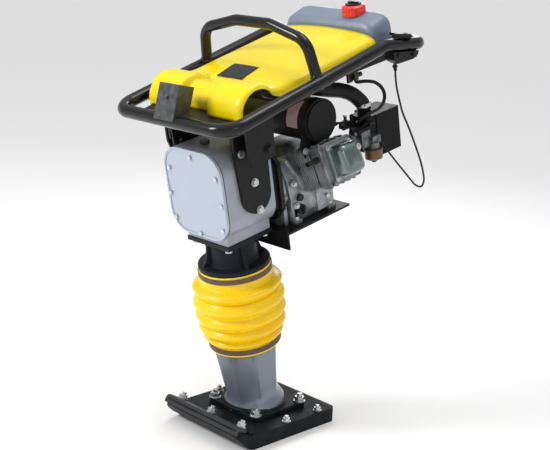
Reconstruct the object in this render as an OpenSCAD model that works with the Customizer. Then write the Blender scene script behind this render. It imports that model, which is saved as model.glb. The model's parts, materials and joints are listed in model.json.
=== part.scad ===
// Tamping rammer. The sole rests on z = 0, the operator stands towards +Y and the gearbox
// cover faces -Y. Everything above the shoe is drawn upright in the leg's own frame
// (x, y, height along the leg) and is then leaned forward by lean().

/* [Shoe] */
// Length of the shoe
shoe_l = 345; // [330:1:360]
// Width of the shoe
shoe_w = 285; // [270:1:300]
// Thickness of the shoe with its sole
shoe_h = 38; // [34:1:42]
// Height of the turned-up toe's underside
toe_lift = 45; // [30:1:50]
// Length of the turned-up toe
toe_l = 65; // [55:1:75]
// How much thinner the toe is at its tip
toe_thin = 18; // [0:1:20]

/* [Leg] */
// Forward lean of the leg
lean_deg = 12.5; // [8:0.5:15]
// Where the leg's axis meets the floor, behind the shoe's centre
foot_y = 22.5; // [15:0.5:30]
// Outer radius of the sliding spring cylinder
slide_r = 54; // [52:1:56]
// Radial running clearance of the slide
run_gap = 0.05; // [0.02:0.01:0.1]
// Crank throw, half of the working stroke
throw_r = 30; // [25:1:32]

/* [Bellows] */
// Radius at the clamp bands
band_r = 91; // [88:1:94]
// Radius over the folds
fold_r = 115; // [108:1:118]
// Height of the lower band's underside along the leg
bellows_lo = 232; // [228:1:236]
// Height of the upper band's top along the leg
bellows_hi = 450; // [446:1:454]

/* [Gearbox] */
// Half width of the gearbox
gear_hw = 104; // [100:1:108]
// Height of the gearbox base along the leg
base_s = 536; // [532:1:540]
// Height of the gearbox top along the leg
top_s = 775; // [770:1:780]
// Front face of the housing
front_y = -80; // [-84:1:-76]
// Back face of the housing
back_y = 68; // [66:1:70]
// Corner radius of the gearbox and its cover
corner_arc = 58; // [50:1:62]

/* [Drive] */
// Gear module
gear_m = 1.5; // [1.5:0.1:1.5]
// Teeth of the crank gear
gear_teeth = 80; // [80:16:80]
// Teeth of the pinion
pinion_teeth = 16; // [16:1:16]
// Height of the engine shaft along the leg
shaft_s = 616; // [614:1:618]

/* [Handle] */
// Half width between the rail centres
rail_x = 203; // [195:1:210]
// Radius of the frame tube
tube_r = 16; // [15:0.5:17]
// Radius of the lifting hoop's tube
hoop_r = 13.5; // [12:0.5:15]
// Wall of the tubes
tube_wall = 2.6; // [2:0.1:3]

/* [Hood and tank] */
// Half width of the hood
hood_hw = 165; // [160:1:170]
// Radius of the hood's rolled front
roll_r = 64; // [60:1:66]
// Half width of the tank
tank_hw = 150; // [140:1:155]

/* [Hidden] */
$fn = 48;

crank_s = shaft_s + gear_m*(gear_teeth + pinion_teeth)/2;
pin_s = crank_s - throw_r;
wrist_s = pin_s - 92;
disc_s = bellows_hi;
cyl_lean = 18.6;
rail_slope = 0.115;

// height of the front part of the frame at y, and of the level rear handle
function rail_s(y) = 866 + (y + 77)*rail_slope;
function rear_s(y) = 921 - (y - 385)*rear_slope;

module lean() translate([0, foot_y, 0]) rotate([lean_deg, 0, 0]) children();
module along_y(y0, y1) translate([0, y1, 0]) rotate([90, 0, 0]) linear_extrude(y1 - y0) children();
module along_x(x0, x1) translate([x0, 0, 0]) rotate([90, 0, 90]) linear_extrude(x1 - x0) children();
module disc_y(x, s, y0, y1, r) translate([x, y1, s]) rotate([90, 0, 0]) cylinder(h = y1 - y0, r = r);
module disc_x(y, s, x0, x1, r) translate([x0, y, s]) rotate([0, 90, 0]) cylinder(h = x1 - x0, r = r);
module disc_s(s0, s1, r) translate([0, 0, s0]) cylinder(h = s1 - s0, r = r);
module box(x0, x1, y0, y1, s0, s1) translate([x0, y0, s0]) cube([x1 - x0, y1 - y0, s1 - s0]);
module ring_s(s0, s1, r_out, r_in) difference() {
    disc_s(s0, s1, r_out);
    disc_s(s0 - 1, s1 + 1, r_in);
}

// a straight bar between two points
module bar(p, q, r) {
    d = q - p;
    translate(p) rotate([0, acos(d.z/norm(d)), atan2(d.y, d.x)]) cylinder(h = norm(d), r = r);
}

// a hexagon bolt head on a washer with its shank below z = 0
module bolt(r, head, shank) {
    cylinder(h = 1.6, r = r*2.1);
    translate([0, 0, 1.6]) cylinder(h = head, r = r*1.8, $fn = 6);
    translate([0, 0, -shank]) cylinder(h = shank, r = r);
}
// a stud standing up through a washer and nut
module stud(r, nut, stick, shank) {
    cylinder(h = 2, r = r*2.2);
    translate([0, 0, 2]) cylinder(h = nut, r = r*1.85, $fn = 6);
    translate([0, 0, 2 + nut]) cylinder(h = stick, r = r);
    translate([0, 0, -shank]) cylinder(h = shank, r = r);
}

// points swept into one closed round tube: sides around each ring, rings square to the path
function unit(v) = v/norm(v);
function side_of(t) = unit(cross(t, abs(t.z) < 0.9 ? [0, 0, 1] : [1, 0, 0]));
function heading(p, i) = unit(p[min(i + 1, len(p) - 1)] - p[max(i - 1, 0)]);
function ring(c, t, r, n) = let (u = side_of(t), v = cross(t, u))
    [for (k = [0:n - 1]) c + r*(u*cos(360*k/n) + v*sin(360*k/n))];
module swept(pts, r, n) {
    m = len(pts);
    rings = [for (i = [0:m - 1]) each ring(pts[i], heading(pts, i), r, n)];
    sides = [for (i = [0:m - 2], k = [0:n - 1])
        [i*n + k, i*n + (k + 1)%n, (i + 1)*n + (k + 1)%n, (i + 1)*n + k]];
    polyhedron(rings, concat(sides, [[for (k = [n - 1:-1:0]) k]], [[for (k = [0:n - 1]) (m - 1)*n + k]]));
}
// an open-ended pipe along points: an outer and an inner skin joined by flat ring ends
module pipe(pts, r, n) {
    m = len(pts);
    o = m*n;
    outer = [for (i = [0:m - 1]) each ring(pts[i], heading(pts, i), r, n)];
    inner = [for (i = [0:m - 1]) each ring(pts[i], heading(pts, i), r - tube_wall, n)];
    walls = [for (i = [0:m - 2], k = [0:n - 1]) let (q = (k + 1)%n)
        each [[i*n + k, i*n + q, (i + 1)*n + q, (i + 1)*n + k],
            [o + i*n + q, o + i*n + k, o + (i + 1)*n + k, o + (i + 1)*n + q]]];
    ends = [for (k = [0:n - 1]) let (q = (k + 1)%n, e = (m - 1)*n)
        each [[q, k, o + k, o + q], [e + k, e + q, o + e + q, o + e + k]]];
    polyhedron(concat(outer, inner), concat(walls, ends));
}
function arc(c, bend, a0, a1, steps) = [for (i = [0:steps]) c + bend*[cos(a0 + (a1 - a0)*i/steps), sin(a0 + (a1 - a0)*i/steps)]];
// a smooth run through chosen points
function knot(p, i) = p[max(0, min(len(p) - 1, i))];
function spline(a, b, c, d, t) = 0.5*(2*b + (c - a)*t + (2*a - 5*b + 4*c - d)*t*t + (3*b - a - 3*c + d)*t*t*t);
function smooth(p, n) = concat([for (i = [0:len(p) - 2], j = [0:n - 1])
    spline(knot(p, i - 1), p[i], p[i + 1], knot(p, i + 2), j/n)], [p[len(p) - 1]]);

// ---- shoe ----
shoe_front = -shoe_l/2;
shoe_back = shoe_l/2;
sole_t = 8;
toe_y = shoe_front + toe_l;
function toe_z(y) = y > toe_y ? 0 : toe_lift*pow((toe_y - y)/toe_l, 2);
toe_steps = [for (i = [0:8]) toe_y - toe_l*i/8];
top_share = (toe_lift - toe_thin)/toe_lift;
module shoe_band(lo, hi, hi_share) along_x(-shoe_w/2, shoe_w/2)
    polygon(concat([[shoe_back, lo]], [for (y = toe_steps) [y, toe_z(y) + lo]],
        [for (i = [8:-1:0]) [toe_steps[i], toe_z(toe_steps[i])*hi_share + hi]], [[shoe_back, hi]]));
module sole_plate() color("dimgray") shoe_band(0, sole_t, 1);
toe_bolt_x = [-113, 0, 113];
toe_bolt_y = shoe_front + 31;
toe_bolt_z = toe_z(toe_bolt_y)*top_share + shoe_h;
toe_tilt = atan(2*toe_lift*top_share*(toe_y - toe_bolt_y)/(toe_l*toe_l));
edge_bolt_y = [5, 117];
edge_bolt_x = shoe_w/2 - 14;
flange_half = 78;
module at_toe() translate([0, toe_bolt_y, toe_bolt_z]) rotate([-toe_tilt, 0, 0]) children();
module at_toe_bolts() for (x = toe_bolt_x) translate([x, 0, 0]) at_toe() children();
module at_edge_bolts() for (x = [-edge_bolt_x, edge_bolt_x], y = edge_bolt_y) translate([x, y, shoe_h]) children();
module at_studs() for (x = [-flange_half, flange_half], y = [foot_y - flange_half, foot_y + flange_half])
    translate([x, y, shoe_h + flange_t]) children();
flange_t = 14;
flange_hw = 91;
module shoe_core() color([0.1, 0.1, 0.11]) difference() {
    union() {
        shoe_band(sole_t, shoe_h, top_share);
        at_toe() box(-shoe_w/2 + 6, shoe_w/2 - 6, 10, 24, -8, 7);
    }
    at_toe_bolts() translate([0, 0, -20]) cylinder(h = 40, r = 6.05);
    at_edge_bolts() translate([0, 0, -20]) cylinder(h = 40, r = 5);
    at_studs() translate([0, 0, -38.5]) cylinder(h = 60, r = 7.05);
}
bar_t = 8;
bar_gap = 4.5;
module toe_bar() color([0.12, 0.12, 0.13]) difference() {
    at_toe() box(-shoe_w/2 + 4, shoe_w/2 - 4, -27, 9, bar_gap, bar_gap + bar_t);
    at_toe_bolts() translate([0, 0, -20]) cylinder(h = 60, r = 6.05);
}
module toe_bolts() color("silver") at_toe_bolts() translate([0, 0, bar_gap + bar_t]) stud(6, 9, 6, 26);
module edge_bolts() color("silver") at_edge_bolts() stud(5, 7, 6, 18);

// ---- leg ----
leg_lo = 92;
leg_hi = 226;
module leg_casting() color([0.42, 0.46, 0.52]) difference() {
    union() {
        lean() disc_s(40, leg_lo, 76);
        lean() translate([0, 0, leg_lo - 1]) rotate(22.5) cylinder(h = leg_hi - leg_lo + 1, r1 = 67, r2 = 81, $fn = 8);
        lean() disc_s(leg_hi - 1, bellows_lo + 18, band_r - 3);
        translate([-flange_hw, foot_y - flange_hw, shoe_h]) cube([2*flange_hw, 2*flange_hw, flange_t]);
    }
    lean() disc_s(66, bellows_hi, slide_r + 0.01);
    lean() disc_s(leg_hi + 2, bellows_hi, slide_r + 14);
    translate([-200, -200, -40]) cube([400, 500, 40 + shoe_h]);
    at_studs() translate([0, 0, -20]) cylinder(h = 40, r = 7);
}
module flange_studs() color("silver") at_studs() stud(7, 11, 8, flange_t + 24);
cyl_top = 400;
slide_wall = 4.5;
module spring_cylinder() color("gray") lean() difference() {
    disc_s(66, cyl_top, slide_r);
    disc_s(76, cyl_top + 1, slide_r - slide_wall);
}
cap_s = cyl_top - 12;
rod_r = 15;
module spring_cap() color("darkgray") lean() ring_s(cap_s, cyl_top, slide_r - slide_wall, rod_r + 3);
piston_s = 242;
module helix(s0, s1, r, wire, turns) {
    n = turns*12;
    swept([for (i = [0:n]) [r*cos(360*turns*i/n), r*sin(360*turns*i/n), s0 + wire + (s1 - s0 - 2*wire)*i/n]], wire, 8);
}
module lower_spring() color("steelblue") lean() helix(76.5, piston_s - 0.5, 43, 6, 6);
module upper_spring() color("steelblue") lean() helix(piston_s + 16.5, cap_s - 0.5, 43, 6, 5);
module clamp_band(s0, s1) {
    ring_s(s0, s1, band_r + 2, band_r + 0.05);
    translate([band_r + 2, -7, (s0 + s1)/2 - 5]) cube([9, 14, 10]);
}
module lower_clamp() color([0.3, 0.25, 0.2]) lean() rotate(140) clamp_band(bellows_lo + 5, bellows_lo + 18);
module upper_clamp() color([0.3, 0.25, 0.2]) lean() rotate(140) clamp_band(bellows_hi - 18, bellows_hi - 5);

// ---- bellows: one corrugated skin, clamped at both ends ----
folds = 5;
fold_lo = bellows_lo + 18;
fold_hi = bellows_hi - 18;
skin_t = 3;
function swell(t) = pow(sin(180*t), 0.45);
function skin_r(t) = band_r + (fold_r - band_r)*swell(t)*(0.84 + 0.16*cos(360*(folds*t - 0.5)));
skin_steps = 60;
skin_pts = [for (i = [0:skin_steps]) [skin_r(i/skin_steps), fold_lo + (fold_hi - fold_lo)*i/skin_steps]];
module bellows() color([0.95, 0.72, 0.05]) lean() rotate_extrude($fn = 72) polygon(concat(
    [[band_r - 3, bellows_lo], [band_r, bellows_lo]], skin_pts, [[band_r, bellows_hi], [band_r - 3, bellows_hi]],
    [for (i = [skin_steps:-1:0]) skin_pts[i] - [skin_t, 0]]));

// ---- guide ----
module guide_cylinder() color([0.2, 0.22, 0.25]) lean() difference() {
    union() {
        disc_s(300, disc_s + 12, slide_r + 8);
        disc_s(bellows_hi - 20, bellows_hi, band_r - 3);
        disc_s(disc_s, disc_s + 12, band_r);
        disc_s(disc_s + 10, base_s - 11, 62);
        box(-76, 76, -74, 71, base_s - 12, base_s);
        for (a = [-18:90:252]) rotate(a) translate([0, 4.5, 0]) rotate([90, 0, 0]) linear_extrude(9)
            polygon([[56, disc_s + 11], [84, disc_s + 11], [70, disc_s + 42], [67, base_s - 11], [56, base_s - 11]]);
    }
    disc_s(299, 440, slide_r + run_gap);
    disc_s(430, base_s + 1, rod_r + run_gap);
    for (x = [-60, 60], y = [-60, 58]) translate([x, y, base_s - 20]) cylinder(h = 30, r = 5);
    difference() {
        disc_s(disc_s + 16, base_s - 16, 52);
        disc_s(disc_s, base_s, rod_r + 10);
    }
}
module guide_bolts() color("silver") lean() for (x = [-60, 60], y = [-60, 58])
    translate([x, y, base_s - 12]) rotate([180, 0, 0]) bolt(5, 6, 22);

// ---- gearbox ----
module outline(inset) {
    w = gear_hw - inset;
    lo = base_s + 18 + inset;
    hi = top_s - inset;
    r = corner_arc - inset;
    translate([-w, lo + r]) square([2*w, hi - lo - 2*r]);
    translate([-w + r, lo]) square([2*w - 2*r, hi - lo]);
    for (x = [-w + r, w - r], s = [lo + r, hi - r]) translate([x, s]) circle(r);
}
wall = 8;
module gearbox_housing() color([0.62, 0.64, 0.66]) lean() difference() {
    union() {
        along_y(front_y, back_y) outline(0);
        box(-73, 73, -71, 67, base_s, base_s + 40);
        for (k = [-1, 1]) disc_x(8, 645, min(k*60, k*104.8), max(k*60, k*104.8), 48);
    }
    along_y(front_y - 1, back_y - wall) outline(wall);
    box(-65, 65, -71 + wall, 67 - wall, base_s + wall, base_s + 60);
    disc_s(base_s - 1, base_s + 20, rod_r + 14);
    disc_y(0, crank_s, back_y - 20, back_y + 1, 20);
    disc_y(0, shaft_s, back_y - 20, back_y + 1, 22);
    for (x = [-60, 60], y = [-60, 58]) translate([x, y, base_s - 1]) cylinder(h = 11.5, r = 5.05);
    translate([0, -38, top_s - 20]) cylinder(h = 30, r = 9);
}
module gearbox_gasket() color([0.1, 0.1, 0.1]) lean() along_y(front_y - 1.5, front_y) difference() {
    outline(0.5);
    outline(wall + 1);
}
cover_pts = [[0, top_s - 19], [84, top_s - 58], [93, 651], [86, 588], [0, base_s + 27], [-86, 588], [-93, 651],
    [-84, top_s - 58]];
module gearbox_cover() color([0.72, 0.74, 0.76]) lean() difference() {
    union() {
        along_y(front_y - 7, front_y - 1.5) outline(1);
        along_y(front_y - 9, front_y - 6) difference() {
            outline(1);
            outline(6);
        }
    }
    for (p = cover_pts) disc_y(p.x, p.y, front_y - 20, front_y, 3);
}
module cover_screws() color([0.15, 0.15, 0.16]) lean() for (p = cover_pts) {
    disc_y(p.x, p.y, front_y - 12, front_y - 9, 5.4);
    disc_y(p.x, p.y, front_y - 9, front_y - 1.5, 2.99);
}
module breather_plug() color([0.12, 0.12, 0.13]) lean() translate([0, -38, 0]) {
    disc_s(top_s - 7, top_s, 8.9);
    translate([0, 0, top_s]) cylinder(h = 9, r = 12, $fn = 6);
}

// ---- side brackets carry the rubber mounts ----
mount_y = 28;
mount_s = 765;
side_bolts = [[3, 684], [9, 613], [-27, 764]];
module bracket_plate() difference() {
    union() {
        translate([6, 652]) circle(46);
        polygon([[-40, 650], [-50, 806], [4, 806], [52, 796], [54, 718], [52, 650]]);
    }
    for (p = side_bolts) translate(p) circle(5);
    translate([mount_y, mount_s]) circle(6);
}
module side_brackets() color([0.07, 0.07, 0.08]) lean() for (k = [-1, 1]) {
    along_x(min(k*105, k*112), max(k*105, k*112)) bracket_plate();
    along_x(min(k*112, k*118), max(k*112, k*118)) polygon([[-50, 772], [-44, 806], [-50, 806]]);
}
module bracket_bolts() color("silver") lean() for (k = [-1, 1], p = side_bolts)
    translate([k*112, p.x, p.y]) rotate([0, k*90, 0]) bolt(4.9, 5, 6.8);

// ---- drive ----
function tooth(n, m, i) = let (a = 360*i/n, w = 360/n, r0 = m*n/2 - 1.25*m, r1 = m*n/2 + m)
    [[r0, a - w*0.36], [r1, a - w*0.12], [r1, a + w*0.12], [r0, a + w*0.36]];
function teeth(n, m, turn) = [for (i = [0:n - 1]) each [for (p = tooth(n, m, i)) p.x*[cos(p.y + turn), sin(p.y + turn)]]];
gear_y0 = 24;
gear_y1 = 44;
module gear_outline(n, turn) polygon(teeth(n, gear_m, turn));
module crank_gear() color("slategray") lean() {
    difference() {
        translate([0, 0, crank_s]) along_y(gear_y0, gear_y1) gear_outline(gear_teeth, -90);
        for (x = [-34, 34]) disc_y(x, crank_s + 12, gear_y0 - 1, gear_y1 + 1, 14);
    }
    disc_y(0, crank_s, gear_y1, back_y - 1, 20 - run_gap);
    disc_y(0, pin_s, 13, gear_y0, 14);
}
module conrod() color("lightslategray") lean() difference() {
    union() {
        disc_y(0, pin_s, -12, 12, 24);
        disc_y(0, wrist_s, -12, 12, 16);
        box(-11, 11, -8, 8, wrist_s + 12, pin_s - 18);
    }
    disc_y(0, pin_s, -13, 13, 14.05);
    disc_y(0, wrist_s, -13, 13, 9 + run_gap);
}
module piston_rod() color("silver") lean() {
    disc_s(piston_s, piston_s + 16, slide_r - slide_wall - 1);
    disc_s(piston_s + 16, wrist_s - 20, rod_r);
    for (k = [-1, 1]) difference() {
        union() {
            box(-14, 14, min(k*12.3, k*19), max(k*12.3, k*19), wrist_s - 24, wrist_s);
            disc_y(0, wrist_s, min(k*12.3, k*19), max(k*12.3, k*19), 14);
        }
    }
    box(-14, 14, -19, 19, wrist_s - 26, wrist_s - 17);
    disc_y(0, wrist_s, -12.3, 12.3, 9);
}
drum_y0 = 72;
drum_y1 = 100;
module drive_pinion() color("slategray") lean() difference() {
    union() {
        translate([0, 0, shaft_s]) along_y(gear_y0, gear_y1) gear_outline(pinion_teeth, 90 + 180/pinion_teeth);
        disc_y(0, shaft_s, gear_y1, drum_y0 + 5, 9);
        disc_y(0, shaft_s, drum_y0, drum_y1, 52);
    }
    disc_y(0, shaft_s, drum_y0 + 6, drum_y1 + 1, 46);
}
shaft_r = 12;
module engine_shaft() color("dimgray") lean() {
    disc_y(0, shaft_s, 82, case_y1 + 6, shaft_r);
    disc_y(0, shaft_s, 84, 98, 24);
    for (a = [0, 180]) translate([0, 0, shaft_s]) rotate([0, a, 0]) translate([0, 0, -shaft_s])
        along_y(84, 98) intersection() {
            translate([0, shaft_s]) circle(44);
            translate([-34, shaft_s + 10]) square([68, 40]);
        }
    disc_y(0, shaft_s, case_y1 + 4, case_y1 + 28, 72);
}
module adapter_outline(inset) intersection() {
    translate([0, 636]) circle(112 - inset);
    translate([-98 + inset, 548 + inset]) square([196 - 2*inset, 164 - 2*inset]);
}
module clutch_housing() color([0.08, 0.08, 0.09]) lean() difference() {
    union() {
        along_y(back_y, 92) adapter_outline(8);
        along_y(92, 104) adapter_outline(0);
        for (p = [[-80, 690], [80, 690], [-80, 572], [80, 572]]) disc_y(p.x, p.y, 88, 92, 8);
    }
    disc_y(0, shaft_s, back_y + 2, 105, 56);
    disc_y(0, shaft_s, back_y - 1, 105, 12);
}

// ---- engine ----
deck_s = 528;
deck_y0 = 74;
deck_y1 = 296;
module engine_deck() color([0.09, 0.09, 0.1]) lean() {
    box(-122, 126, deck_y0, deck_y1, deck_s - 6, deck_s);
    box(-122, 126, deck_y0, deck_y0 + 5, deck_s - 44, deck_s - 6);
    for (x = [-60, 60], y = [130, 230]) translate([x, y, deck_s - 6]) rotate([180, 0, 0]) bolt(4, 6, 4);
}
case_y0 = 104;
case_y1 = 272;
module cyl_frame() translate([0, 0, shaft_s]) rotate([0, 90 - cyl_lean, 0]) children();
module case_outline(r) intersection() {
    union() {
        translate([0, shaft_s]) circle(r);
        translate([-84, deck_s]) square([172, 50]);
    }
    translate([-150, deck_s]) square([300, 250]);
}
cover_t = 12;
switch_at = [150, 592];
module crankcase() color([0.55, 0.57, 0.6]) lean() difference() {
    union() {
        along_y(case_y0 + cover_t, case_y1) case_outline(90);
        cyl_frame() translate([-54, 174, 50]) cube([108, 94, 42]);
        disc_x(switch_at.x, switch_at.y, 78, 100, 12);
    }
    disc_y(0, shaft_s, case_y0 - 1, case_y1 + 1, shaft_r + 8);
    disc_y(0, shaft_s, case_y0 - 1, case_y1 - 12, 66);
    disc_x(switch_at.x, switch_at.y, 93.5, 101, 9.4);
    cyl_frame() translate([0, cyl_y, 45]) cylinder(h = 60, r = 33);
}
module crankcase_cover() color([0.6, 0.62, 0.66]) lean() difference() {
    union() {
        along_y(case_y0, case_y0 + cover_t) case_outline(92);
        for (a = [-10:50:190]) disc_y(86*cos(a), shaft_s + 86*sin(a), case_y0, case_y0 + cover_t, 11);
    }
    disc_y(0, shaft_s, case_y0 - 1, case_y1 + 1, shaft_r + 2);
    disc_y(0, shaft_s, case_y0 + 6, case_y1 + 1, 66);
}
fin_n = 7;
cyl_y = 232;
module cylinder_block() color([0.58, 0.6, 0.63]) lean() difference() {
    cyl_frame() {
        for (i = [0:fin_n - 1]) translate([-56, cyl_y - 56, 94 + i*7.2]) cube([112, 112, 3]);
        translate([0, cyl_y, 92]) cylinder(h = 58, r = 44);
        translate([-54, cyl_y - 54, 144]) cube([108, 110, 36]);
    }
    cyl_frame() translate([0, cyl_y, 80]) cylinder(h = 74, r = 33);
}
module valve_cover() color([0.5, 0.56, 0.56]) lean() cyl_frame() difference() {
    union() {
        translate([-46, cyl_y - 36, 180]) cube([92, 82, 5]);
        translate([-39, cyl_y - 29, 185]) cube([78, 68, 45]);
        for (x = [-38, 38], y = [cyl_y - 29, cyl_y + 39]) translate([x, y, 185]) cylinder(h = 8, r = 7);
    }
    translate([-36, cyl_y - 26, 179]) cube([72, 62, 48]);
}
module spark_plug() color("white") lean() cyl_frame() translate([-20, cyl_y - 54, 165]) rotate([90, 0, 0]) {
    cylinder(h = 12, r = 8, $fn = 6);
    translate([0, 0, 12]) cylinder(h = 24, r = 6);
}
module oil_caps() color([0.2, 0.2, 0.2]) lean() {
    disc_x(150, 562, 88, 100, 10);
    disc_x(240, 566, 88, 104, 12);
    disc_x(150, 562, 100, 104, 7);
}
muffler_y = 226;
muffler_s = 770;
muffler_r = 54;
module muffler() color([0.05, 0.05, 0.06]) lean() difference() {
    union() {
        disc_x(muffler_y, muffler_s, -95, 126, muffler_r);
        disc_x(muffler_y, muffler_s, 126, 130, muffler_r - 6);
        disc_x(muffler_y + 38, muffler_s + 40, -60, -20, 9);
    }
    disc_x(muffler_y, muffler_s, -93, 124, muffler_r - 2);
    cyl_frame() translate([-57, 170, 80]) cube([114, 122, 106]);
}
module muffler_band() color([0.72, 0.62, 0.66]) lean() difference() {
    disc_x(muffler_y, muffler_s, 62, 98, muffler_r + 1);
    disc_x(muffler_y, muffler_s, 61, 99, muffler_r + 0.02);
    box(50, 110, muffler_y - 20, 400, 600, 900);
    box(50, 110, 100, 400, 600, muffler_s - 8);
}

// ---- intake, carburettor and fuel ----
carb = [168, 0, 690];
module carburettor() color([0.45, 0.47, 0.5]) lean() {
    disc_y(carb.x - 16, carb.z + 5, 288.1, 352, 15);
    box(carb.x - 36, carb.x + 6, 312, 344, carb.z - 14, carb.z + 28);
    disc_y(carb.x - 16, carb.z + 5, 288.1, 295, 22);
    translate([carb.x + 2, 354, 0]) {
        disc_s(636, 640, 14);
        disc_s(640, 666, 22);
        disc_s(666, 682, 16);
    }
    box(carb.x - 22, carb.x + 14, 342, 372, 680, 699);
}
choke_x = carb.x - 20;
module choke_lever() color([0.1, 0.1, 0.1]) lean() translate([choke_x, 326, 0]) {
    disc_s(carb.z + 28.3, carb.z + 33, 9);
    translate([0, 0, carb.z + 28.3]) rotate(60) translate([0, -4, 0]) cube([36, 8, 4]);
    rotate(60) translate([34, 0, carb.z + 30]) cylinder(h = 12, r = 4.5);
}
box_y0 = 352.1;
box_y1 = 470;
module air_box() color([0.06, 0.06, 0.07]) lean() difference() {
    union() {
        box(86, 160, box_y0 + 34, box_y1, 632, 742);
        box(100, 158, box_y0, box_y0 + 36, 700, 742);
        translate([127, 378, 742]) cylinder(h = 14, r = 17);
    }
    box(90, 156, box_y0 + 38, box_y1 - 4, 636, 738);
    box(104, 154, box_y0 + 4, box_y0 + 40, 704, 738);
    translate([127, 378, 730]) cylinder(h = 30, r = 14);
}
intake_pts = [[60, 120, 868], [80, 122, 868], [96, 140, 864], [100, 180, 856], [98, 226, 849], [98, 257, 838],
    [102, 290, 826], [108, 322, 816], [117, 350, 800], [124, 368, 780], [127, 377, 766], [127, 378, 757]];
module intake_hose() color([0.08, 0.08, 0.09]) lean() swept(smooth(intake_pts, 2), 19, 12);
fuel_pts = [[114, 372, 829], [115, 376, 823], [122, 398, 820], [128, 426, 810], [132, 446, 790], [136, 449, 770],
    [142, 436, 757], [150, 412, 752], [155, 388, 751], [157, 364, 751], [152, 350, 746], [145, 342, 737],
    [140, 338, 727], [139, 337, 718.3]];
module fuel_hose() color([0.06, 0.06, 0.06]) lean() swept(smooth(fuel_pts, 2), 4.5, 8);
module recoil_cover() color([0.1, 0.1, 0.11]) lean() difference() {
    union() {
        disc_y(0, shaft_s, case_y1, 312, 86);
        disc_y(0, shaft_s, 312, 330, 60);
        box(40, 70, 312, 326, shaft_s - 12, shaft_s + 12);
    }
    disc_y(0, shaft_s, case_y1 - 1, 309, 80);
    disc_y(0, shaft_s, 300, 326, 54);
}
module recoil_grip() color([0.08, 0.08, 0.08]) lean() {
    disc_x(319, shaft_s, 70.3, 84, 6);
    box(82, 94, 313, 325, shaft_s - 32, shaft_s + 32);
}
module stop_switch() color([0.7, 0.1, 0.08]) lean() disc_x(switch_at.x, switch_at.y, 98, 108, 9);

// ---- handle frame ----
// flat tube work in the plane z = 0: hollow straights and elbows meet face to face
module ring_2d(r) difference() {
    circle(r);
    circle(r - tube_wall);
}
module straight(p, q, r) {
    d = q - p;
    translate([p.x, p.y, 0]) rotate([0, 0, atan2(d.y, d.x)]) rotate([0, 90, 0])
        linear_extrude(norm(d)) ring_2d(r);
}
module elbow(c, bend, from, turn, r)
    translate([c.x, c.y, 0]) rotate(from) rotate_extrude(angle = turn) translate([bend, 0]) ring_2d(r);
corner_r = 55;
front_v = -132;
join_v = -70;
module frame_plane() translate([0, 0, rail_s(0)]) rotate([atan(rail_slope), 0, 0]) children();
module front_bumper() color([0.05, 0.05, 0.06]) lean() frame_plane() {
    in = rail_x - corner_r;
    straight([-in, front_v], [in, front_v], tube_r);
    elbow([in, front_v + corner_r], corner_r, 270, 90, tube_r);
    elbow([-in, front_v + corner_r], corner_r, 180, 90, tube_r);
    for (k = [-1, 1]) straight([k*rail_x, front_v + corner_r], [k*rail_x, join_v], tube_r);
}
function on_plane(v) = [v*cos(atan(rail_slope)), rail_s(0) + v*sin(atan(rail_slope))];
handle_y = 505;
rear_slope = 0.2;
rail_bend = 100;
bend_y = (rear_s(0) - rail_s(0))/(rail_slope + rear_slope);
bend_at = [bend_y, rail_s(bend_y)];
rail_turn = atan(rail_slope) + atan(rear_slope);
rail_cut = rail_bend*tan(rail_turn/2);
rail_b = bend_at + rail_cut*[cos(atan(rear_slope)), -sin(atan(rear_slope))];
rail_end = [handle_y, rear_s(handle_y)];
hoop_foot = [rail_x - 9, 161, rail_s(161)];
module side_plane() translate([rail_x, 0, 0]) rotate([90, 0, 90]) children();
rail_pts = concat([on_plane(join_v)], arc(rail_b - rail_bend*[sin(atan(rear_slope)), cos(atan(rear_slope))], rail_bend,
    90 - atan(rear_slope) + rail_turn, 90 - atan(rear_slope), 5), [rail_end]);
module rail() pipe([for (q = rail_pts) [rail_x, q.x, q.y]], tube_r, 24);
// the solid space that the right rail fills
module rail_core(r) side_plane() for (ends = [[on_plane(join_v), bend_at], [bend_at, rail_end]])
    bar([ends[0].x, ends[0].y, 0], [ends[1].x, ends[1].y, 0], r);
module right_rail() color([0.05, 0.05, 0.06]) lean() rail();
module left_rail() color([0.05, 0.05, 0.06]) lean() mirror([1, 0, 0]) rail();
rear_r = 40;
module rear_plane() translate([0, handle_y, rear_s(handle_y)]) rotate([-atan(rear_slope), 0, 0]) children();
module rear_handle() color([0.05, 0.05, 0.06]) lean() {
    rear_plane() {
        in = rail_x - rear_r;
        straight([-in, rear_r], [in, rear_r], tube_r);
        elbow([in, 0], rear_r, 0, 90, tube_r);
        elbow([-in, 0], rear_r, 90, 90, tube_r);
    }
    difference() {
        box(rail_x - 16, rail_x + 14, 406, 502, 858, 892);
        rail_core(tube_r + 0.02);
    }
    bar([190, 436, 845], [190, 436, 858], 4);
}
hoop_bend = 45;
hoop_in = 17;
hoop_corner = [rail_x - 9 - hoop_in, 990];
hoop_top = 1028;
hoop_rise = atan((hoop_top - hoop_corner.y)/hoop_corner.x);
hoop_splay = atan(hoop_in/(hoop_corner.y - hoop_foot.z));
hoop_turn = 90 - hoop_rise - hoop_splay;
hoop_cut = hoop_bend*tan(hoop_turn/2);
hoop_up = [-sin(hoop_splay), cos(hoop_splay)];
hoop_side = concat([[hoop_foot.x, hoop_foot.z]],
    arc(hoop_corner - hoop_up*hoop_cut + hoop_bend*[-hoop_up.y, hoop_up.x], hoop_bend, hoop_splay, hoop_splay + hoop_turn, 7),
    [for (x = [60, 30, 10]) [x, hoop_top - 3 - abs(x - 10)*tan(hoop_rise)]]);
hoop_pts = concat(hoop_side, [for (i = [len(hoop_side) - 1:-1:0]) [-hoop_side[i].x, hoop_side[i].y]]);
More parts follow.
